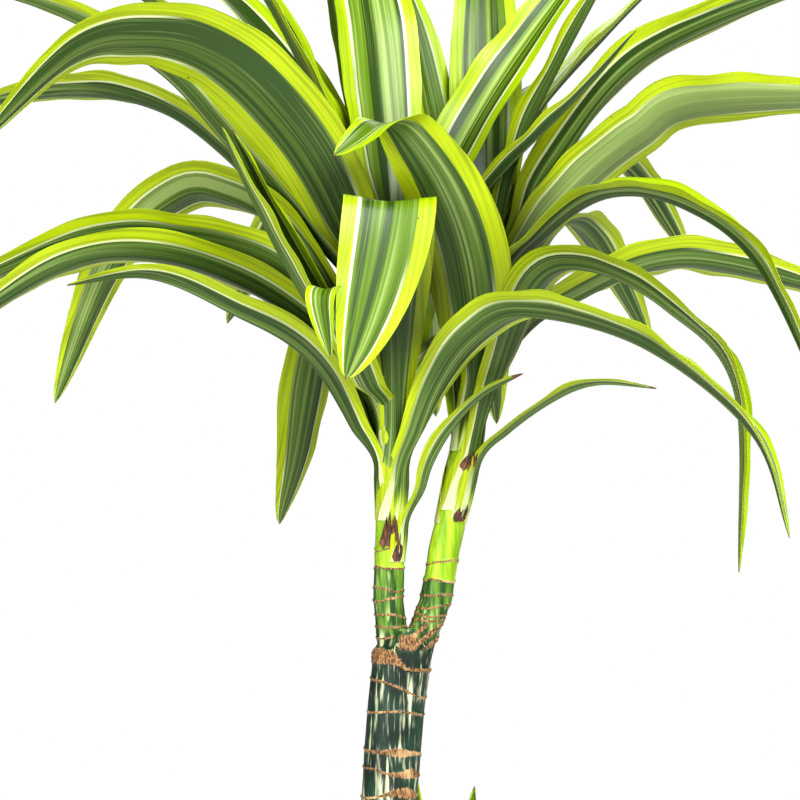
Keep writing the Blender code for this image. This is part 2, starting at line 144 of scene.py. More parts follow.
LEAVES = {
    # The left crown, from its lowest leaf up.
    "left_leaf_01": Leaf("left", 562, 352, 24, ((10, 22), (17, 44), (30, 66), (48, 85), (72, 99)),
                         fold=50),
    "left_leaf_02": Leaf("left", 594, 316, 46,
                         ((30, 58), (63, 89), (104, 100), (192, 81), (272, 32), (300, -26)),
                         twist=(-20, -25)),
    "left_leaf_03": Leaf("left", 598, 188, 44, ((40, 69), (90, 100), (138, 120), (188, 116)),
                         twist=(25, 10)),
    "left_leaf_04": Leaf("left", 604, 130, 46, ((22, 50), (45, 82), (63, 70), (82, 5), (101, -37)),
                         fold=20),
    "left_leaf_05": Leaf("left", 612, 276, 56,
                         ((12, 50), (23, 100), (35, 138), (50, 150), (62, 138), (74, 45)),
                         fold=8, drift=(-36, 0), widest=0.62),
    "left_leaf_06": Leaf("left", 622, 180, 44,
                         ((25, 50), (72, 87), (132, 108), (193, 102), (280, 48)),
                         twist=(35, 35)),
    "left_leaf_07": Leaf("left", 630, 242, 28,
                         ((34, 33), (59, 63), (74, 80), (81, 72), (70, 40)),
                         fold=15),
    "left_leaf_08": Leaf("left", 640, 218, 50, ((33, 32), (72, 82), (108, 140), (120, 166)),
                         twist=(-35, -35)),
    "left_leaf_09": Leaf("left", 648, 175, 43, ((60, 73), (124, 93), (180, 93), (270, 60)),
                         twist=(35, 40)),
    "left_leaf_10": Leaf("left", 640, 52, 28, ((10, 12), (28, 28), (58, 44), (80, 48))),
    "left_leaf_11": Leaf("left", 657, 163, 46,
                         ((38, 60), (68, 94), (100, 111), (130, 113), (173, 75), (213, -14)),
                         twist=(10, 45, 45)),
    "left_leaf_12": Leaf("left", 665, 215, 38,
                         ((28, 20), (61, 60), (85, 97), (109, 139)),
                         twist=(-30, -30), drift=(0, -10)),
    "left_leaf_13": Leaf("left", 668, 60, 30, ((12, 30), (30, 60), (48, 84))),
    "left_leaf_14": Leaf("left", 644, 134, 46,
                         ((50, 66), (100, 117), (147, 155), (212, 188), (300, 203), (420, 200)),
                         twist=(35, 35), drift=(0, 10)),
    "left_leaf_15": Leaf("left", 684, 214, 56,
                         ((42, 91), (84, 140), (125, 166), (167, 172), (216, 161), (280, 106)),
                         fold=14, twist=(35, 50)),
    "left_leaf_16": Leaf("left", 700, 140, 54,
                         ((28, 22), (85, 83), (126, 127), (159, 171), (228, 214)),
                         twist=(30, 30)),
    "left_leaf_17": Leaf("left", 694, 164, 48,
                         ((28, 29), (59, 62), (100, 106), (146, 154), (211, 190), (268, 209)),
                         twist=(30, 30)),
    "left_leaf_18": Leaf("left", 706, 135, 50, ((30, 60), (75, 125), (145, 190), (215, 225))),
    "left_leaf_19": Leaf("left", 710, 172, 44, ((14, 50), (40, 110), (80, 186), (134, 245))),
    "left_leaf_20": Leaf("left", 716, 20, 44, ((12, 40), (33, 79), (66, 131), (130, 215)),
                         twist=(40, 40)),
    "left_leaf_21": Leaf("left", 722, 110, 46, ((20, 55), (48, 110), (92, 176), (130, 225))),
    "left_leaf_22": Leaf("left", 732, 112, 54, ((10, 50), (22, 100), (40, 160), (100, 275)),
                         fold=12),
    "left_leaf_23": Leaf("left", 712, 358, 30, ((25, 30), (58, 70), (107, 119), (139, 157)),
                         fold=45),
    # The left crown's leaves that reach back.
    "left_leaf_24": Leaf("left", 634, 84, 46, ((38, 30), (85, 68), (150, 78), (260, 0))),
    "left_leaf_25": Leaf("left", 646, 114, 46, ((30, 65), (80, 110), (150, 122), (265, 50))),
    "left_leaf_26": Leaf("left", 682, 95, 48, ((25, 70), (70, 125), (140, 160), (270, 130))),
    # The right crown, from its lowest leaf up.
    "right_leaf_01": Leaf("right", 597, 348, 24, ((16, 23), (47, 46), (75, 57), (112, 55))),
    "right_leaf_02": Leaf("right", 612, 325, 44,
                          ((15, 42), (45, 103), (83, 110), (135, 86), (181, 40), (185, -68)),
                          twist=(-20, -25)),
    "right_leaf_03": Leaf("right", 622, 20, 44,
                          ((10, 30), (28, 61), (59, 82), (137, 108), (262, 85)),
                          twist=(-35, -40)),
    "right_leaf_04": Leaf("right", 648, 272, 54,
                          ((22, 50), (44, 100), (58, 135), (70, 157), (88, 158), (98, 140)),
                          fold=15, drift=(-88, -10)),
    "right_leaf_05": Leaf("right", 656, 321, 50,
                          ((22, 62), (50, 90), (95, 110), (147, 102), (200, 66), (253, -25)),
                          twist=(-5, 25, 0, -35, -35)),
    "right_leaf_06": Leaf("right", 664, 52, 42,
                          ((28, 65), (70, 112), (112, 130), (156, 127), (230, 68))),
    "right_leaf_07": Leaf("right", 694, 354, 48,
                          ((20, 44), (54, 83), (90, 112), (127, 131), (248, 134)),
                          fold=18, twist=(-40, -45)),
    "right_leaf_08": Leaf("right", 698, 6, 50, ((20, 50), (40, 90), (99, 158), (220, 212)),
                          twist=(-35, -35)),
    "right_leaf_09": Leaf("right", 720, 54, 38, ((16, 50), (49, 100), (131, 158), (197, 200)),
                          twist=(-25, -25)),
    "right_leaf_10": Leaf("right", 712, 345, 38, ((8, 55), (18, 86), (34, 122), (90, 225))),
    "right_leaf_11": Leaf("right", 730, 90, 46, ((14, 50), (26, 100), (44, 165), (75, 230)),
                          fold=12),
    "right_leaf_12": Leaf("right", 712, 138, 40, ((16, 45), (34, 97), (55, 168), (80, 225))),
    "right_leaf_13": Leaf("right", 700, 122, 38, ((26, 55), (52, 108), (84, 178), (115, 235))),
    # The right crown's leaves that reach back.
    "right_leaf_14": Leaf("right", 604, 84, 46, ((35, 55), (85, 95), (155, 102), (250, 25))),
    "right_leaf_15": Leaf("right", 638, 62, 46, ((30, 60), (80, 105), (150, 115), (255, 45))),
    "right_leaf_16": Leaf("right", 686, 80, 46, ((28, 70), (72, 125), (140, 158), (260, 140))),
    # The side shoot's leaves.
    "side_leaf_01": Leaf("side", 224, 175, 26, ((8, 60), (14, 120), (23, 196)), fold=45),
    "side_leaf_02": Leaf("side", 230, 60, 26, ((4, 60), (7, 120), (12, 175)), fold=45),
    "side_leaf_03": Leaf("side", 196, 300, 28, ((20, 50), (60, 85), (110, 90), (150, 65))),
    "side_leaf_04": Leaf("side", 205, 20, 28, ((20, 55), (60, 95), (110, 100), (160, 70))),
    "side_leaf_05": Leaf("side", 214, 100, 28, ((20, 55), (55, 100), (105, 110), (155, 85))),
}
DEAD_TIPS = {"left_leaf_01": 7, "right_leaf_01": 4}     # how much of each has dried
PALENESS = {"right_leaf_07": 0.4}       # how far a pale leaf's centre fades


class Scar(NamedTuple):
    """A ring left by a fallen leaf: its height, how far it dips to the right, its thickness,
    how much thicker it is where it has scabbed over, and the way that scab faces."""

    height: float
    dip: float = 0
    thickness: float = 0.7
    scab: float = 0
    facing: float = 270


TRUNK_SCARS = (Scar(470, 6.5), Scar(455, 0.5), Scar(431, 2, 0.9, 1.9, 285),
               Scar(419, 3, 0.7, 2.6, 315), Scar(405, -1, 0.8, 2.8, 305))
LEFT_SCARS = (Scar(543), Scar(530, 1), Scar(524, -1), Scar(514, 1), Scar(507), Scar(501, -1),
              Scar(554, 0.5, 0.5))
RIGHT_SCARS = (Scar(546, -1), Scar(535, 1), Scar(526), Scar(519, -1), Scar(514, 1), Scar(511))
SHOOT_SCARS = (Scar(185), Scar(200))


class Tube(NamedTuple):
    """A length of stem as it is barked.

    middle holds the points down it, as in STEMS, and seed sets its own small wobbles.
    fresh_ring is the place among its scars of the ring above which its bark is still fresh.
    forked tells whether the crust of the fork reaches it.
    """

    middle: tuple
    scars: tuple
    seed: int
    fresh_ring: int = -1
    forked: bool = True


# Small helpers

def smoothstep(value, low, high):
    share = np.clip((value - low) / (high - low), 0, 1)
    return share * share * (3 - 2 * share)


def make_waves(chance, shortest, longest, count=4):
    """A smooth random function of distance, made of sine waves, that stays within -1 and 1."""
    waves = [(math.tau / chance.uniform(shortest, longest), chance.uniform(0, math.tau))
             for _ in range(count)]
    return lambda distance: sum(np.sin(distance * k + phase) for k, phase in waves) / count


def grid_faces(rows, columns, first=0, closed=False, flipped=False):
    """Quads between the points of a grid stored row by row. closed joins its last column to
    its first, and flipped makes them face the other way."""
    faces = []
    for row in range(rows - 1):
        for column in range(columns if closed else columns - 1):
            after = (column + 1) % columns
            low, high = first + row * columns, first + (row + 1) * columns
            quad = (low + column, low + after, high + after, high + column)
            faces.append(quad[::-1] if flipped else quad)
    return faces


def make_piece(name, vertices, faces, materials, nodes=(), sharp=60):
    """A piece of the plant that rides on its one body and stands for the CAD nodes named."""
    mesh = bpy.data.meshes.new(name)
    mesh.from_pydata((np.asarray(vertices) * MM).tolist(), [], faces)
    piece = bpy.data.objects.new(name, mesh)
    bpy.context.scene.collection.objects.link(piece)
    for material in materials:
        mesh.materials.append(material)
    mesh.shade_smooth()
    mesh.set_sharp_from_angle(angle=math.radians(sharp))
    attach(piece, "root")
    if nodes:
        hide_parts(*nodes)
    return piece


def store(piece, name, values):
    """Keeps one number, or three, for each vertex, for a material to read."""
    values = np.asarray(values, dtype=np.float32)
    kind, key = ("FLOAT", "value") if values.ndim == 1 else ("FLOAT_VECTOR", "vector")
    piece.data.attributes.new(name, kind, "POINT").data.foreach_set(key, values.ravel())


# Materials

def srgb(code):
    """A linear colour from an sRGB hex code."""
    parts = [int(code[i:i + 2], 16) / 255 for i in (0, 2, 4)]
    return (*(p / 12.92 if p <= 0.04045 else ((p + 0.055) / 1.055) ** 2.4 for p in parts), 1)


class Nodes:
    """A material under construction. Each method adds one node and returns its output."""

    def __init__(self, name):
        self.material = bpy.data.materials.new(name)
        self.material.use_nodes = True
        self.tree = self.material.node_tree
        self.shader = self.tree.nodes["Principled BSDF"]

    def plug(self, socket, value):
        if isinstance(value, bpy.types.NodeSocket):
            self.tree.links.new(value, socket)
        else:
            socket.default_value = value

    def attribute(self, name):
        node = self.tree.nodes.new("ShaderNodeAttribute")
        node.attribute_name = name
        return node

    def position(self, x=1, y=1, z=1):
        """The place on the object, in metres, stretched."""
        place = self.tree.nodes.new("ShaderNodeTexCoord").outputs["Object"]
        node = self.tree.nodes.new("ShaderNodeVectorMath")
        node.operation = "MULTIPLY"
        self.plug(node.inputs[0], place)
        node.inputs[1].default_value = (x, y, z)
        return node.outputs["Vector"]

    def split(self, vector):
        node = self.tree.nodes.new("ShaderNodeSeparateXYZ")
        self.plug(node.inputs["Vector"], vector)
        return node.outputs["X"], node.outputs["Y"], node.outputs["Z"]

    def join(self, x, y, z):
        node = self.tree.nodes.new("ShaderNodeCombineXYZ")
        for socket, value in zip(node.inputs, (x, y, z)):
            self.plug(socket, value)
        return node.outputs["Vector"]

    def math(self, operation, a, b=0.0, clamp=False):
        node = self.tree.nodes.new("ShaderNodeMath")
        node.operation = operation
        node.use_clamp = clamp
        self.plug(node.inputs[0], a)
        self.plug(node.inputs[1], b)
        return node.outputs["Value"]

    def plus(self, a, b):
        return self.math("ADD", a, b)

    def minus(self, a, b):
        return self.math("SUBTRACT", a, b)

    def times(self, a, b, clamp=False):
        return self.math("MULTIPLY", a, b, clamp)

    def larger(self, a, b):
        return self.math("MAXIMUM", a, b)

    def step(self, value, low, high, reverse=False):
        """Rises smoothly from 0 to 1 as the value goes from low to high, or falls."""
        node = self.tree.nodes.new("ShaderNodeMapRange")
        node.interpolation_type = "SMOOTHSTEP"
        self.plug(node.inputs["Value"], value)
        self.plug(node.inputs["From Min"], low)
        self.plug(node.inputs["From Max"], high)
        node.inputs["To Min"].default_value = 1 if reverse else 0
        node.inputs["To Max"].default_value = 0 if reverse else 1
        return node.outputs["Result"]

    def noise(self, vector, detail, roughness=0.5):
        """A random function of a place that is already stretched to the wanted scale."""
        node = self.tree.nodes.new("ShaderNodeTexNoise")
        self.plug(node.inputs["Vector"], vector)
        node.inputs["Scale"].default_value = 1
        node.inputs["Detail"].default_value = detail
        node.inputs["Roughness"].default_value = roughness
        return node.outputs["Fac"]

    def mix(self, share, a, b):
        node = self.tree.nodes.new("ShaderNodeMix")
        node.data_type = "RGBA"
        self.plug(node.inputs[0], share)
        self.plug(node.inputs[6], a)
        self.plug(node.inputs[7], b)
        return node.outputs[2]

    def bump(self, height, distance, strength=1.0):
        node = self.tree.nodes.new("ShaderNodeBump")
        self.plug(node.inputs["Height"], height)
        node.inputs["Distance"].default_value = distance
        self.plug(node.inputs["Strength"], strength)
        return node.outputs["Normal"]

    def finish(self, colour, roughness, normal=None):
        self.plug(self.shader.inputs["Base Color"], colour)
        self.plug(self.shader.inputs["Roughness"], roughness)
        if normal is not None:
            self.plug(self.shader.inputs["Normal"], normal)
        return self.material

    def let_light_through(self, colour, share):
        """Mixes in a translucent shader, for a thin sheet that glows with the light behind it."""
        glow = self.tree.nodes.new("ShaderNodeBsdfTranslucent")
        self.plug(glow.inputs["Color"], colour)
        both = self.tree.nodes.new("ShaderNodeMixShader")
        both.inputs[0].default_value = share
        self.tree.links.new(self.shader.outputs[0], both.inputs[1])
        self.tree.links.new(glow.outputs[0], both.inputs[2])
        self.tree.links.new(both.outputs[0], self.tree.nodes["Material Output"].inputs["Surface"])


class Face(NamedTuple):
    """The colours of one face of a leaf."""

    dark: str            # centre, between its stripes
    green: str           # centre
    stripe: str          # the pale stripes down the centre
    line: str            # the white line between centre and margin
    margin: str
    margin_shade: str
    roughness: float


UPPER_FACE = Face("2A4702", "658C06", "B4CB6A", "F2F5CC", "B4D200", "8CAE00", 0.4)
UNDER_FACE = Face("2C4712", "587628", "A2B768", "DCE4A8", "B2C600", "8A9C00", 0.48)
CREAM = "E9ECC6"
LIME = "AECC10"
# The deep green that painted shade darkens the middles of the crowns to.
PAINTED_SHADE_GREEN = "0C1E02"
DEAD_BROWN = "6B4524"


def leaf_place(n):
    """What a leaf's material reads at a point, and the random patterns that its parts share."""
    at = SimpleNamespace()
    at.across, at.along, index = n.split(n.attribute("blade").outputs["Vector"])
    at.shade, at.border, at.tip = n.split(n.attribute("nature").outputs["Vector"])
    # How much painted shade darkens this point, deepest inside its crown.
    at.buried = n.attribute("buried").outputs["Fac"]
    at.distance = n.math("ABSOLUTE", at.across)
    at.seed = n.times(index, 3.7)
    at.lane = n.plus(n.times(n.math("SIGN", at.across), 5), at.seed)    # one for each half

    def streaks(value, width, length, shift, detail):
        return n.noise(n.join(n.times(value, width), n.times(at.along, length), shift), detail)

    at.fine = streaks(n.attribute("reach").outputs["Fac"], 650, 9, at.seed, 1)
    at.broad = streaks(at.across, 4.2, 2.2, at.seed, 2)
    at.narrow = streaks(at.across, 12, 3, at.lane, 2)
    return at


def margin_and_line(n, at):
    """How far a point belongs to the lime margin, and to the white line inside it."""
    wander = n.noise(n.join(at.lane, n.times(at.along, 7), 0.5), 1)
    edge = n.plus(at.border, n.times(n.minus(wander, 0.5), 0.22))
    ragged = n.times(n.minus(at.fine, 0.5), 0.05)
    feathered = n.plus(at.distance, ragged)
    margin = n.step(feathered, edge, n.plus(edge, 0.03))
    foot = n.step(at.along, -0.02, 0.03, reverse=True)
    inner = n.minus(edge, n.plus(n.times(foot, 0.22), 0.07))
    line = n.step(feathered, inner, n.plus(inner, 0.03))
    return margin, n.times(line, n.larger(foot, n.step(wander, 0.38, 0.56)))


def striped_centre(n, at, face, midrib):
    """The green centre with its pale stripes and darker midrib."""
    banded = n.plus(at.broad, n.times(n.minus(at.narrow, 0.5), 0.5))
    centre = n.mix(n.step(banded, 0.38, 0.55), srgb(face.dark), srgb(face.green))
    for streaks, share in ((n.step(banded, 0.54, 0.68), 0.8), (n.step(at.fine, 0.56, 0.75), 0.3)):
        centre = n.mix(n.times(streaks, share), centre, srgb(face.stripe))
    centre = n.mix(n.times(midrib, 0.7), centre, srgb(face.dark))
    centre = n.mix(n.times(at.shade, 0.3, clamp=True), centre, srgb(face.dark))
    return n.mix(n.times(at.shade, -1, clamp=True), centre, srgb(face.stripe))


def lime_rim(n, at, face):
    streaks = n.step(n.plus(at.fine, n.times(at.broad, 0.3)), 0.55, 0.8)
    return n.mix(n.times(streaks, 0.8), srgb(face.margin), srgb(face.margin_shade))


def banded_blade(n, at, face, margin, line, midrib):
    """Centre, line and margin laid side by side. They pale to lime and cream down the sheath."""
    faded = n.minus(at.along, n.times(at.fine, 0.035))
    limed = n.step(faded, -0.036, -0.02, reverse=True)
    colour = n.mix(limed, striped_centre(n, at, face, midrib), srgb(LIME))
    colour = n.mix(n.times(line, 0.9), colour, srgb(face.line))
    colour = n.mix(margin, colour, lime_rim(n, at, face))
    foot = n.step(faded, -0.041, -0.027, reverse=True)
    creamy = n.times(foot, n.step(at.narrow, 0.45, 0.6))
    return n.mix(n.times(creamy, 0.85), colour, srgb(CREAM))


def dried_parts(n, at, margin):
    """How far a point has dried brown: at the tip, and in specks along the margin."""
    ragged = n.plus(at.tip, n.times(at.fine, 0.004))
    tip = n.step(ragged, 0.0, 0.003, reverse=True)
    place = n.join(n.times(at.across, 6), n.times(at.along, 160), at.seed)
    specks = n.times(n.step(n.noise(place, 1), 0.79, 0.82), margin)
    return n.larger(tip, specks)


def leaf_material(name, face):
    """Bands run the whole length of a blade: a striped green centre, a white line and a lime
    margin. Painted shade darkens blades the deeper they lie in their crown."""
    n = Nodes(name)
    at = leaf_place(n)
    midrib = n.step(at.distance, 0.008, 0.05, reverse=True)
    margin, line = margin_and_line(n, at)
    colour = banded_blade(n, at, face, margin, line, midrib)
    # Painted shade: blades darken towards deep green inside their crowns.
    colour = n.mix(n.times(at.buried, 0.88), colour, srgb(PAINTED_SHADE_GREEN))
    colour = n.mix(dried_parts(n, at, margin), colour, srgb(DEAD_BROWN))

    roughness = n.plus(n.times(at.fine, 0.14), face.roughness - 0.05)
    veins = n.plus(n.times(at.fine, 0.6), n.times(midrib, -0.8))
    relief = n.times(n.step(at.tip, 0.08, 0.2), 0.5)
    material = n.finish(colour, roughness, n.bump(veins, 0.0003, relief))
    n.shader.inputs["Specular IOR Level"].default_value = 0.3
    n.let_light_through(colour, 0.24)
    return material


def bark_material():
    """Green bark with pale upright streaks, and tan crust on the scars."""
    n = Nodes("bark")
    ripeness = n.attribute("ripeness").outputs["Fac"]
    scar = n.attribute("scar").outputs["Fac"]
    streak = n.noise(n.position(230, 230, 21), 3, 0.55)
    patch = n.noise(n.position(60, 60, 40), 2)
    grain = n.noise(n.position(900, 900, 300), 2)
    fleck = n.noise(n.position(420, 420, 48), 2)
    flecked = n.times(n.step(fleck, 0.56, 0.74), 0.6)
    streaked = n.larger(n.step(streak, 0.55, 0.68), flecked)
    old = n.mix(n.step(patch, 0.35, 0.7), srgb("06170F"), srgb("163424"))
    old = n.mix(n.times(streaked, 0.9), old, srgb("DDE2B6"))
    young = n.mix(n.step(streak, 0.42, 0.62), srgb("143A0A"), srgb("567F1E"))
    young = n.mix(flecked, young, srgb("B9CC7C"))
    fresh = n.mix(n.step(streak, 0.35, 0.7), srgb("6E9A00"), srgb("A8C82A"))
    colour = n.mix(n.step(ripeness, 0.0, 0.5), old, young)
    colour = n.mix(n.step(ripeness, 0.5, 1.0), colour, fresh)
    crust = n.mix(n.step(grain, 0.35, 0.65), srgb("402814"), srgb("A0764A"))
    crust = n.mix(n.step(patch, 0.55, 0.75), crust, srgb("C9A676"))
    pitted = n.times(n.minus(grain, 0.5), 0.9)
    crusted = n.step(n.plus(scar, pitted), 0.35, 0.6)
    colour = n.mix(crusted, colour, crust)
    roughness = n.plus(n.times(crusted, 0.4), 0.42)
    height = n.plus(n.times(streak, 0.5), n.times(grain, 0.35))
    n.shader.inputs["Specular IOR Level"].default_value = 0.3
    return n.finish(colour, roughness, n.bump(height, 0.0008, 0.6))


def bract_material():
    """The papery brown remains of leaf bases."""
    n = Nodes("dry_bract")
    fibre = n.noise(n.position(700, 700, 90), 3)
    colour = n.mix(n.step(fibre, 0.35, 0.7), srgb("25130A"), srgb("7A4A28"))
    return n.finish(colour, 0.8, n.bump(fibre, 0.0008))


def soil_material(name, dark, pale):
    n = Nodes(name)
    crumb = n.noise(n.position(420, 420, 420), 5, 0.7)
    colour = n.mix(n.step(crumb, 0.35, 0.75), srgb(dark), srgb(pale))
    return n.finish(colour, 0.95, n.bump(crumb, 0.002))


def pot_material():
    """Dark moulded plastic with a fine, slightly uneven matt finish."""
    n = Nodes("pot_plastic")
    grain = n.noise(n.position(1400, 1400, 1400), 2)
    dust = n.noise(n.position(22, 22, 30), 4, 0.6)
    dusty = n.times(n.step(dust, 0.45, 0.8), 0.35)
    colour = n.mix(dusty, srgb("26282A"), srgb("5A5650"))
    roughness = n.plus(n.times(dust, 0.3), 0.36)
    return n.finish(colour, roughness, n.bump(grain, 0.00025, 0.5))


def floor_material():
    n = Nodes("floor")
    grain = n.noise(n.position(30, 30, 30), 3)
    return n.finish(n.mix(grain, srgb("F4F4F2"), srgb("FAFAF9")), 0.8)


# Stems

def stem_at(stem, heights):
    """Where a stem's middle is at some heights, and its radius there: (x, y, radius)."""
    points = np.array(stem, float)
    return [np.interp(heights, points[:, 2], points[:, i]) for i in (0, 1, 3)]


def scar_masks(scars, fresh_ring, turn, height, chance):
    """How strongly each point of a stem is scarred, from 0 to 1, and whether it lies above the
    ring where the bark is still fresh."""
    scarred = np.zeros_like(height)
    fresh = np.zeros_like(height)
    for index, scar in enumerate(scars):
        wobble = make_waves(chance, 1.2, 3.6)
        fringe = make_waves(chance, 0.25, 1.1)
        level = scar.height - scar.dip * np.cos(turn) + RING_WOBBLE * wobble(turn)
        facing = np.clip(np.cos(turn - math.radians(scar.facing)), 0, 1) ** 6
        thickness = scar.thickness * (1 + 0.45 * fringe(turn)) + scar.scab * facing
        scarred = np.maximum(scarred, np.exp(-((height - level) / thickness) ** 2))
        if index == fresh_ring:
            fresh = smoothstep(height, level - 0.4, level + 0.4)
    return scarred, fresh


def fork_crust(x, z):
    """The corky crust under the fork, which dips to the right, and that on the right branch."""
    level = np.interp(x, (-14, 2, 10, 26), (490, 489, 482, 480))
    thickness = np.interp(x, (-14, 2, 9), (5.5, 4.5, 1.2))
    band = np.exp(-((z - level) / thickness) ** 4)
    folds = smoothstep(np.sin(FOLD_SPACING * (z - 0.8 * x)), -0.5, 0.4)
    shoulder = smoothstep(x, 10, 15) * np.exp(-((z - 501) / 9) ** 4) * folds
    crotch = np.exp(-((x - 11) / 6) ** 4 - ((z - 498) / 5) ** 4)
    return np.maximum(np.maximum(band, crotch), 0.8 * shoulder)


def make_stem_mesh(tube):
    """The points, faces, scarring and ripeness of a stem's bark, ring by ring."""
    chance = random.Random(tube.seed)
    low, high = tube.middle[0][2], tube.middle[-1][2]
    rings = int((high - low) / STEM_STEP) + 1
    turn, height = np.meshgrid(np.linspace(0, math.tau, STEM_SIDES, endpoint=False),
                               np.linspace(low, high, rings))
    x, y, radius = stem_at(tube.middle, height)
    scarred, fresh = scar_masks(tube.scars, tube.fresh_ring, turn, height, chance)
    bulge = make_waves(chance, 25, 90)
    rough = tube.forked * fork_crust(x + radius * np.cos(turn), height)
    warts = np.sin(turn * 11 + height * 0.9) * np.sin(turn * 5 - height * 1.7)
    radius = radius + 0.35 * bulge(height + 12 * turn) + 0.7 * scarred + rough * (0.9 + 0.8 * warts)
    points = np.stack((x + radius * np.cos(turn), y + radius * np.sin(turn), height), axis=-1)
    ripe = (smoothstep(height + 5 * bulge(height * 3 + 9 * turn), 484, 516) + fresh) / 2
    faces = grid_faces(rings, STEM_SIDES, closed=True)
    faces.append(tuple(reversed(range(STEM_SIDES))))
    faces.append(tuple(range((rings - 1) * STEM_SIDES, rings * STEM_SIDES)))
    return points.reshape(-1, 3), faces, np.maximum(scarred, rough).ravel(), ripe.ravel()


def make_bark(name, tubes, node, material):
    """One piece from several tubes of bark that run into each other."""
    vertices, faces, scarred, ripe = [], [], [], []
    for tube in tubes:
        points, quads, scar, ripeness = make_stem_mesh(tube)
        first = len(vertices)
        vertices.extend(points)
        faces.extend(tuple(first + i for i in face) for face in quads)
        scarred.extend(scar)
        ripe.extend(ripeness)
    piece = make_piece(name, vertices, faces, [material], [node], sharp=70)
    store(piece, "scar", scarred)
    store(piece, "ripeness", ripe)


def trunk_scars():
    """The scars below the fork, and more of them at uneven steps down to the soil."""
    chance = random.Random(31)
    scars = list(TRUNK_SCARS)
    height = TRUNK_SCARS[-1].height
    while height > SOIL_TOP + 20:
        height -= chance.uniform(13, 24)
        scabbed = chance.random() < 0.4
        scars.append(Scar(height, chance.uniform(-3, 3), chance.uniform(0.6, 1.0),
                          chance.uniform(2, 4) if scabbed else 0, chance.uniform(0, 360)))
    return scars


class Bract(NamedTuple):
    """The dried base of a fallen leaf: its stem, the height of its foot, the way it faces, its
    width and length, and how far its torn end has curled away from the stem."""

    stem: str
    height: float
    azimuth: float
    width: float
    length: float
    lift: float


BRACTS = (Bract("left", 556, 268, 13, 19, 2.6), Bract("left", 547, 300, 7, 13, 2.0),
          Bract("right", 598, 292, 12, 20, 3.2), Bract("right", 571, 300, 9, 9, 3.0),
          Bract("left", 545, 120, 12, 16, 1.8), Bract("right", 552, 60, 12, 18, 1.8))
BRACT_ROWS = 10
BRACT_COLUMNS = 9
BRACT_GAPS = (0.5, 0.9)  # between its stem and each of a bract's two faces


def bract_sheets(bract, chance):
    """The points of a bract's inner and outer faces."""
    tear = make_waves(chance, 0.5, 1.5)
    curl = make_waves(chance, 0.8, 2.0)
    up, v = np.meshgrid(np.linspace(0, 1, BRACT_ROWS), np.linspace(-1, 1, BRACT_COLUMNS),
                        indexing="ij")
    z = bract.height + bract.length * (0.12 * curl(v * 3) + up * (0.6 + 0.9 * tear(v * 2)))
    x, y, radius = stem_at(STEMS[bract.stem], z)
    narrowing = 0.3 + 0.7 * np.sin(math.pi * (0.2 + 0.7 * up))
    turn = math.radians(bract.azimuth) + v * narrowing * bract.width / 2 / (radius + 1)
    for gap in BRACT_GAPS:
        r = radius + gap + bract.lift * up ** 2 * (0.8 + 0.6 * curl(v * 2 + up))
        yield np.stack((x + r * np.cos(turn), y + r * np.sin(turn), z), -1).reshape(-1, 3)


def make_bracts(material):
    """Torn, dried leaf bases that still cling below the lowest leaves."""
    for index, bract in enumerate(BRACTS):
        inner, outer = bract_sheets(bract, random.Random(200 + index))
        vertices, faces = close_sheets(outer, inner, BRACT_ROWS, BRACT_COLUMNS)
        make_piece(f"bract_{index + 1}", vertices, faces, [material])


def close_sheets(front, back, rows, columns):
    """A thin closed solid from two grids of points, one for each face."""
    count = rows * columns
    faces = grid_faces(rows, columns) + grid_faces(rows, columns, first=count, flipped=True)
    left = [row * columns for row in range(rows)]
    right = [row * columns + columns - 1 for row in range(rows)]
    bottom = list(range(columns))
    top = list(range((rows - 1) * columns, count))
    for border, outward in ((left, True), (right, False), (bottom, False), (top, True)):
        for a, b in zip(border, border[1:]):
            quad = (a, b, b + count, a + count)
            faces.append(quad if outward else quad[::-1])
    return np.vstack((front, back)), faces


# Leaves

def smooth_path(points, count):
    """Evenly spaced points on a Catmull-Rom curve through the given ones."""
    points = np.array(points, float)
    padded = np.vstack((2 * points[0] - points[1], points, 2 * points[-1] - points[-2]))
    dense = []
    for a, b, c, d in zip(padded, padded[1:], padded[2:], padded[3:]):
        for t in np.linspace(0, 1, 24, endpoint=False):
            dense.append(0.5 * (2 * b + (c - a) * t + (2 * a - 5 * b + 4 * c - d) * t ** 2
                                + (3 * b - a - 3 * c + d) * t ** 3))
    dense.append(points[-1])
    dense = np.array(dense)
    travelled = np.concatenate(([0], np.cumsum(np.linalg.norm(np.diff(dense, axis=0), axis=1))))
    wanted = np.linspace(0, travelled[-1], count)
    return np.column_stack([np.interp(wanted, travelled, dense[:, i]) for i in (0, 1)])


def leaf_frames(leaf, stations):
    """The midrib's points with the blade's side and up directions at each."""
    x, y, radius = stem_at(STEMS[leaf.stem], leaf.height)
    turn = math.radians(leaf.azimuth)
    heading = np.array((math.cos(turn), math.sin(turn), 0))
    across = np.array((-math.sin(turn), math.cos(turn), 0))
    base = np.array((x, y, leaf.height)) + heading * (radius + FIT_GAP)
    flat = smooth_path(((0, 0),) + leaf.path, stations)
    share = np.linspace(0, 1, stations)
    middle = (base + np.outer(flat[:, 0], heading) + np.outer(flat[:, 1], (0, 0, 1))
              + np.outer(share ** DRIFT_GROWTH, (*leaf.drift, 0)))
    along = np.gradient(middle, axis=0)
    along /= np.linalg.norm(along, axis=1)[:, None]
    side = across - (along @ across)[:, None] * along
    side /= np.linalg.norm(side, axis=1)[:, None]
    up = np.cross(along, side)
    twist = np.radians(np.interp(share, np.linspace(0, 1, len(leaf.twist)), leaf.twist))
    twist *= np.minimum(share / OPENING_PART, 1)
    cos, sin = np.cos(twist)[:, None], np.sin(twist)[:, None]
    return share, middle, side * cos + up * sin, up * cos - side * sin


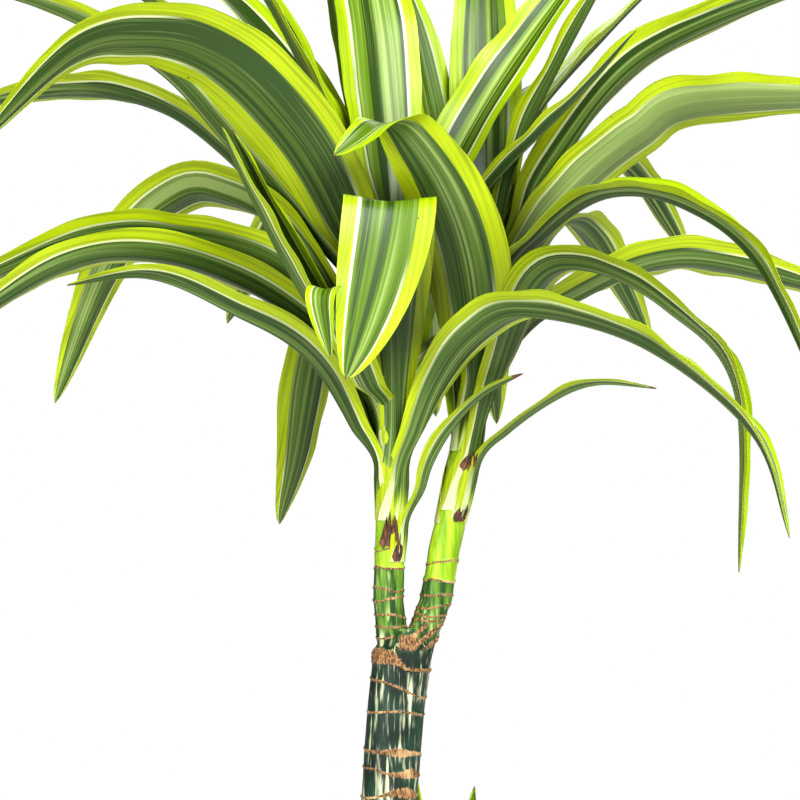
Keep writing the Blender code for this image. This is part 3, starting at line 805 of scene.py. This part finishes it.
def half_widths(leaf, share):
    """Half the blade's width along it: narrow above its sheath, widest near the middle, and
    drawn out to a point."""
    bulge = np.sin(math.pi * share ** (math.log(0.5) / math.log(leaf.widest)))
    blade = leaf.width * np.clip(bulge, 0, 1) ** BLADE_FULLNESS
    clasp = min(CLASP_WIDTH, 0.7 * leaf.width) * np.clip(1 - 2.2 * share, 0, 1)
    return (blade ** 4 + clasp ** 4 + 0.3 ** 4) ** 0.25 / 2


def wrapped_round(leaf, heights, spread, gap, v):
    """Points on the stem's surface that reach to both sides of where a leaf heads."""
    x, y, radius = (value[:, None] for value in stem_at(STEMS[leaf.stem], heights))
    turn = math.radians(leaf.azimuth) + spread[:, None] * v
    reach = radius + gap[:, None]
    z = np.broadcast_to(heights[:, None], turn.shape)
    return np.stack((x + reach * np.cos(turn), y + reach * np.sin(turn), z), axis=-1)


def free_blade(leaf, chance):
    """A grid of points over the blade as it hangs in the air, and how far along each row is."""
    share, middle, side, up = leaf_frames(leaf, BLADE_ROWS)
    steps = np.linalg.norm(np.diff(middle, axis=0), axis=1)
    travelled = np.concatenate(([0], np.cumsum(steps)))
    v = np.linspace(-1, 1, BLADE_COLUMNS)[None, :]
    half = half_widths(leaf, share)[:, None]
    closed = 1 - smoothstep(share, 0, 0.22)
    fold = np.radians(leaf.fold + (OPENING_FOLD - leaf.fold) * closed)[:, None]
    ridge = np.sqrt(v ** 2 + 0.012) - math.sqrt(0.012)
    rise = half * np.sin(fold) * (ridge - 0.12 * v ** 2)
    reach = half * v * np.cos(fold)
    ripple = 2.3 * np.sin(math.pi * np.clip(share, 0, 1))[:, None] * np.abs(v) ** 2.2
    left, right = make_waves(chance, 30, 100), make_waves(chance, 30, 100)
    rise = rise + ripple * np.where(v < 0, left(travelled)[:, None], right(travelled)[:, None])
    free = middle[:, None] + side[:, None] * reach[..., None] + up[:, None] * rise[..., None]
    return free, travelled


def leaf_surface(leaf, chance):
    """A grid of points over a leaf, its sheath round the stem and then its blade, with how far
    along the leaf each row is, and the sheath's length."""
    free, travelled = free_blade(leaf, chance)
    v = np.linspace(-1, 1, BLADE_COLUMNS)[None, :]
    spread = np.radians(np.interp(travelled, (0, CLASP_LENGTH), (CLASP_SPREAD, 35)))
    heights = leaf.height + 0.9 * travelled
    hugging = wrapped_round(leaf, heights, spread, np.full(BLADE_ROWS, 1.6), v)
    loose = smoothstep(travelled, 0, CLASP_LENGTH)[:, None, None]
    blade = free * loose + hugging * (1 - loose)

    size = min(leaf.width / FULL_WIDTH, 1)
    sheath_length = SHEATH_LENGTHS[leaf.stem] * max(size, SMALLEST_SHEATH)
    below = np.linspace(-sheath_length, 0, SHEATH_ROWS, endpoint=False)
    opened = 1 + below / sheath_length
    spread = np.radians(SHEATH_SPREAD * size * (1 - opened) + CLASP_SPREAD * opened)
    sheath = wrapped_round(leaf, leaf.height + below, spread, 0.4 + 1.2 * opened, v)
    return np.concatenate((sheath, blade)), np.concatenate((below, travelled)), sheath_length


def painted_crown_shade(surface):
    """How far inside a crown each point of a leaf lies, from 0 to 1, which sets its painted shade.
    """
    depth = np.zeros(surface.shape[:2])
    for stem in (LEFT_STEM, RIGHT_STEM):
        x, y = stem[-1][:2]
        out = np.hypot(surface[..., 0] - x, surface[..., 1] - y)
        z = surface[..., 2]
        # Only the middle heights of a crown get painted shade.
        shaded_heights = smoothstep(z, 640, 690) * (1 - smoothstep(z, 750, 850))
        depth = np.maximum(depth, shaded_heights * (1 - smoothstep(out, 14, 60)))
    return depth


def leaf_solid(surface, v):
    """A leaf's closed solid round its middle surface, thickest at the midrib."""
    rows, columns = surface.shape[:2]
    normal = np.cross(np.gradient(surface, axis=0), np.gradient(surface, axis=1))
    normal /= np.maximum(np.linalg.norm(normal, axis=-1, keepdims=True), 1e-9)
    half_thickness = np.interp(np.abs(v), (0, 1), (BLADE_THICKNESS / 2, MARGIN_THICKNESS / 2))
    upper = (surface + normal * half_thickness[None, :, None]).reshape(-1, 3)
    under = (surface - normal * half_thickness[None, :, None]).reshape(-1, 3)
    return close_sheets(under, upper, rows, columns)


def leaf_shade(name, chance):
    """How dark a leaf's centre is, from 0 to 1, or below 0 for a pale leaf."""
    if name in PALENESS:
        return -PALENESS[name]
    return chance.random()


def store_leaf_nature(piece, name, index, surface, travelled, sheath_length, chance):
    """What a leaf's material reads, for the points of both its faces.

    blade is the place across the leaf, from -1 to 1, the metres above the pale part of its
    sheath, and its number. nature is how dark its centre is, where its margin begins and the
    metres to the end of its living part. reach is the metres from the midrib, and buried
    is how much painted shade darkens it, deepest inside the crown.
    """
    v = np.linspace(-1, 1, BLADE_COLUMNS)
    across, along = np.meshgrid(v, travelled)
    from_pale = (along + sheath_length - PALE_LENGTH) * MM
    blade = np.stack((across, from_pale, np.full_like(across, index)), axis=-1).reshape(-1, 3)
    dead = DEAD_TIPS.get(name, chance.uniform(-2, 3))
    shade = np.full_like(across, leaf_shade(name, chance))
    border = np.full_like(across, chance.uniform(0.56, 0.68))
    nature = np.stack((shade, border, (travelled[-1] - along - dead) * MM), axis=-1).reshape(-1, 3)
    from_midrib = np.linalg.norm(surface - surface[:, [BLADE_COLUMNS // 2]], axis=-1)
    reach = from_midrib * np.sign(v) * MM
    store(piece, "blade", np.vstack((blade, blade)))
    store(piece, "reach", np.tile(reach.ravel(), 2))
    # Painted shade, for the points deep inside a crown.
    store(piece, "buried", np.tile(painted_crown_shade(surface).ravel(), 2))
    store(piece, "nature", np.vstack((nature, nature)))


def make_leaf(name, leaf, index, materials):
    chance = random.Random(index)
    surface, travelled, sheath_length = leaf_surface(leaf, chance)
    vertices, faces = leaf_solid(surface, np.linspace(-1, 1, BLADE_COLUMNS))
    piece = make_piece(f"{name}_blade", vertices, faces, materials, [name], sharp=75)
    store_leaf_nature(piece, name, index, surface, travelled, sheath_length, chance)
    under_faces = (len(travelled) - 1) * (BLADE_COLUMNS - 1)
    shown = np.zeros(len(faces), dtype=np.int32)
    shown[:under_faces] = 1
    piece.data.polygons.foreach_set("material_index", shown)


# Pot and soil

def pot_radius(z):
    """The outside of the pot's wall at a height."""
    return POT_BASE_RADIUS + (POT_MOUTH_RADIUS - POT_BASE_RADIUS) * z / (POT_HEIGHT - RIM_HEIGHT)


def turn_profile(profile, sides):
    """Points and quads of a ring-shaped solid turned from a closed profile of (radius, z)."""
    turns = np.linspace(0, math.tau, sides, endpoint=False)
    points = [(r * math.cos(t), r * math.sin(t), z) for r, z in profile for t in turns]
    rows = len(profile)
    faces = grid_faces(rows, sides, closed=True)
    last = (rows - 1) * sides
    for side in range(sides):
        after = (side + 1) % sides
        faces.append((last + side, last + after, after, side))
    return points, faces


def make_pot(material):
    """A grow pot: wall, rolled rim, foot ring and a floor with drain holes."""
    rim_bottom = POT_HEIGHT - RIM_HEIGHT
    rim = POT_MOUTH_RADIUS + RIM_OVERHANG
    inner_mouth = pot_radius(POT_HEIGHT) - POT_WALL
    inner_foot = pot_radius(POT_FLOOR) - POT_WALL
    hub = 0.4
    profile = [(hub, 0), (POT_BASE_RADIUS - 2, 0), (POT_BASE_RADIUS - 0.6, 0.6),
               (POT_BASE_RADIUS, 2)]
    for share in (0.25, 0.5, 0.75):
        profile.append((pot_radius(rim_bottom * share), rim_bottom * share))
    profile += [(pot_radius(rim_bottom) - 0.6, rim_bottom - 1.5),
                (pot_radius(rim_bottom) + 0.4, rim_bottom - 0.3),
                (rim - 1, rim_bottom), (rim, rim_bottom + 1), (rim + 0.6, POT_HEIGHT - 5),
                (rim + 1, POT_HEIGHT - 3), (rim + 0.4, POT_HEIGHT - 1), (rim - 1, POT_HEIGHT),
                (inner_mouth + 1.5, POT_HEIGHT), (inner_mouth + 0.4, POT_HEIGHT - 0.7),
                (inner_mouth, POT_HEIGHT - 2), (inner_foot, POT_FLOOR), (hub, POT_FLOOR)]
    points, faces = turn_profile(profile, POT_SIDES)
    pot = make_piece("grow_pot", points, faces, [material], ["pot"], sharp=50)
    cut_drain_holes(pot)


def cut_drain_holes(pot):
    cutters = []
    for hole in range(DRAIN_HOLES):
        turn = math.tau * (hole + 0.4) / DRAIN_HOLES
        place = (DRAIN_RING_RADIUS * math.cos(turn) * MM,
                 DRAIN_RING_RADIUS * math.sin(turn) * MM, 0)
        bpy.ops.mesh.primitive_cylinder_add(vertices=DRAIN_HOLE_SIDES,
                                            radius=DRAIN_HOLE_RADIUS * MM,
                                            depth=4 * POT_FLOOR * MM, location=place)
        cutters.append(bpy.context.object)
        modifier = pot.modifiers.new("Drain hole", "BOOLEAN")
        modifier.operation = "DIFFERENCE"
        modifier.solver = "EXACT"
        modifier.object = cutters[-1]
    cut = bpy.data.meshes.new_from_object(pot.evaluated_get(bpy.context.evaluated_depsgraph_get()))
    pot.modifiers.clear()
    pot.data = cut
    for cutter in cutters:
        bpy.data.objects.remove(cutter, do_unlink=True)


def lumps(x, y):
    """How far the soil's surface rises, from -1 to 1."""
    return (np.sin(x * 0.13 + 1.3 * np.sin(y * 0.09)) * np.cos(y * 0.11 + 0.6)
            + 0.5 * np.sin(x * 0.31 + y * 0.27) + 0.35 * np.sin(x * 0.9 - y * 0.7)) / 1.85


def make_soil(material):
    """The soil's uneven top, with a skirt that goes down inside the pot."""
    inside = pot_radius(SOIL_TOP) - POT_WALL - 2 * FIT_GAP
    turns = np.linspace(0, math.tau, SOIL_SIDES, endpoint=False)
    points = []
    for ring in range(SOIL_RINGS):
        r = inside * (1 - ring / SOIL_RINGS)
        x, y = r * np.cos(turns), r * np.sin(turns)
        points += list(zip(x, y, SOIL_TOP + SOIL_LUMP * lumps(x, y)))
    foot = pot_radius(POT_FLOOR) - POT_WALL - 2 * FIT_GAP
    skirt = [(foot * math.cos(t), foot * math.sin(t), POT_FLOOR + FIT_GAP) for t in turns]
    points = skirt + points + [(0, 0, SOIL_TOP)]
    rows = SOIL_RINGS + 1
    faces = grid_faces(rows, SOIL_SIDES, closed=True)
    last, top = (rows - 1) * SOIL_SIDES, len(points) - 1
    faces += [(last + side, last + (side + 1) % SOIL_SIDES, top) for side in range(SOIL_SIDES)]
    faces.append(tuple(reversed(range(SOIL_SIDES))))
    make_piece("potting_soil", points, faces, [material], ["soil"], sharp=80)


def make_icosahedron():
    """The twelve corners of a regular icosahedron of radius 1, and its outward faces."""
    corners = np.array([(s * 0.5257, t * 0.8507, 0) for s in (-1, 1) for t in (-1, 1)])
    corners = np.vstack((corners, corners[:, (2, 0, 1)], corners[:, (1, 2, 0)]))
    faces = []
    for i, j, k in itertools.combinations(range(12), 3):
        a, b, c = corners[i], corners[j], corners[k]
        if max(np.linalg.norm(a - b), np.linalg.norm(b - c), np.linalg.norm(a - c)) < 1.2:
            outward = np.dot(np.cross(b - a, c - a), a) > 0
            faces.append((i, j, k) if outward else (k, j, i))
    return corners, faces


def make_chunk(corners, size, chance):
    """A dented, stretched and turned icosahedron about the origin."""
    stretch = np.array([chance.uniform(0.6, 1.3) for _ in range(3)]) * size
    dents = np.array([[chance.uniform(0.75, 1.2)] for _ in corners])
    shape = corners * dents * stretch
    spin = chance.uniform(0, math.tau)
    x = shape[:, 0] * math.cos(spin) - shape[:, 1] * math.sin(spin)
    y = shape[:, 0] * math.sin(spin) + shape[:, 1] * math.cos(spin)
    return x, y, shape[:, 2]


def make_soil_chunks(name, count, smallest, largest, seed, material):
    """Loose crumbs that lie on the soil, half sunk into it and clear of the stems."""
    chance = random.Random(seed)
    corners, hull = make_icosahedron()
    inside = pot_radius(SOIL_TOP) - POT_WALL - CHUNK_MARGIN
    chunks, faces = [], []
    while len(chunks) < count:
        r, t = inside * math.sqrt(chance.random()), chance.uniform(0, math.tau)
        x, y = r * math.cos(t), r * math.sin(t)
        if any(math.hypot(x - s[0][0], y - s[0][1]) < s[0][3] + 2 for s in (TRUNK, SIDE_SHOOT)):
            continue
        size = chance.uniform(smallest, largest)
        chunk_x, chunk_y, chunk_z = make_chunk(corners, size, chance)
        z = SOIL_TOP + SOIL_LUMP * float(lumps(x, y)) + 0.25 * size
        first = len(corners) * len(chunks)
        chunks.append(np.stack((x + chunk_x, y + chunk_y, z + chunk_z), axis=-1))
        faces += [tuple(first + i for i in face) for face in hull]
    make_piece(name, np.vstack(chunks), faces, [material], sharp=25)


# Scene

def add_light(name, location, size, power):
    """A soft square light that faces the middle of the plant."""
    data = bpy.data.lights.new(name, "AREA")
    data.shape = "SQUARE"
    data.size = size
    data.energy = power
    light = bpy.data.objects.new(name, data)
    bpy.context.scene.collection.objects.link(light)
    light.location = location
    light.rotation_euler = (AIM - light.location).to_track_quat("-Z", "Y").to_euler()


def add_studio():
    """A pale floor, a white surround that also lights the plant softly, and soft lamps."""
    bpy.ops.mesh.primitive_grid_add(x_subdivisions=8, y_subdivisions=8, size=FLOOR_SIZE,
                                    location=(0, 0, -MM))
    floor = bpy.context.object
    floor.name = "floor"
    floor.data.materials.append(floor_material())
    floor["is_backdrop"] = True

    world = bpy.data.worlds.new("studio")
    bpy.context.scene.world = world
    world.use_nodes = True
    tree = world.node_tree
    surround = tree.nodes["Background"]
    surround.inputs["Color"].default_value = (1, 1, 1, 1)
    path = tree.nodes.new("ShaderNodeLightPath")
    strength = tree.nodes.new("ShaderNodeMapRange")
    strength.inputs["To Min"].default_value = SURROUND_LIGHT
    strength.inputs["To Max"].default_value = 1.0
    tree.links.new(path.outputs["Is Camera Ray"], strength.inputs["Value"])
    tree.links.new(strength.outputs["Result"], surround.inputs["Strength"])

    add_light("key", (0.8, -2.1, 2.1), 1.1, 132)
    add_light("fill", (-1.8, -1.8, 1.2), 1.2, 46)
    add_light("back", (0.2, 1.9, 2.4), 1.4, 44)


def add_camera():
    data = bpy.data.cameras.new("camera")
    data.sensor_width = SENSOR_WIDTH
    data.lens = data.sensor_width * CAMERA_DISTANCE / VIEW_WIDTH
    camera = bpy.data.objects.new("camera", data)
    bpy.context.scene.collection.objects.link(camera)
    camera.location = (CAMERA_SIDE, -CAMERA_DISTANCE, CAMERA_HEIGHT)
    camera.rotation_euler = (math.radians(90), 0, 0)
    bpy.context.scene.camera = camera


def make_plant():
    bark = bark_material()
    cane = (Tube(TRUNK, trunk_scars(), 0), Tube(LEFT_STEM, LEFT_SCARS, 1, fresh_ring=0),
            Tube(RIGHT_STEM, RIGHT_SCARS, 2, fresh_ring=1))
    make_bark("cane_bark", cane, "cane", bark)
    shoot = (Tube(SIDE_SHOOT, SHOOT_SCARS, 3, forked=False),)
    make_bark("side_shoot_bark", shoot, "side_shoot", bark)
    make_bracts(bract_material())
    faces = [leaf_material("leaf_upper", UPPER_FACE), leaf_material("leaf_under", UNDER_FACE)]
    for index, (name, leaf) in enumerate(LEAVES.items()):
        make_leaf(name, leaf, index, faces)


def make_potful():
    make_pot(pot_material())
    make_soil(soil_material("soil", "1E130B", "4A3423"))
    crumbs = soil_material("crumbs", "24170D", "5E4630")
    make_soil_chunks("soil_crumbs", SOIL_CRUMBS, 0.8, 2.6, 41, crumbs)
    chips = soil_material("bark_chips", "3A2415", "8A6440")
    make_soil_chunks("soil_bark_chips", BARK_CHIPS, 2.5, 5.0, 42, chips)


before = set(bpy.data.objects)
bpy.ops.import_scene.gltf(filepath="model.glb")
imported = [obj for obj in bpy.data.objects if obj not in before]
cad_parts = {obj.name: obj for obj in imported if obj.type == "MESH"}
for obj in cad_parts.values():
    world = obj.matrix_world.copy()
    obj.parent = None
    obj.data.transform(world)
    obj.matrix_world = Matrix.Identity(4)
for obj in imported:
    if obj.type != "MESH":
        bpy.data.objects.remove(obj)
cad_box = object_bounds()
bpy.context.scene.view_settings.view_transform = "Standard"
make_plant()
make_potful()
add_studio()
add_camera()

[[list(corner) for corner in box] for box in (cad_box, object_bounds())]
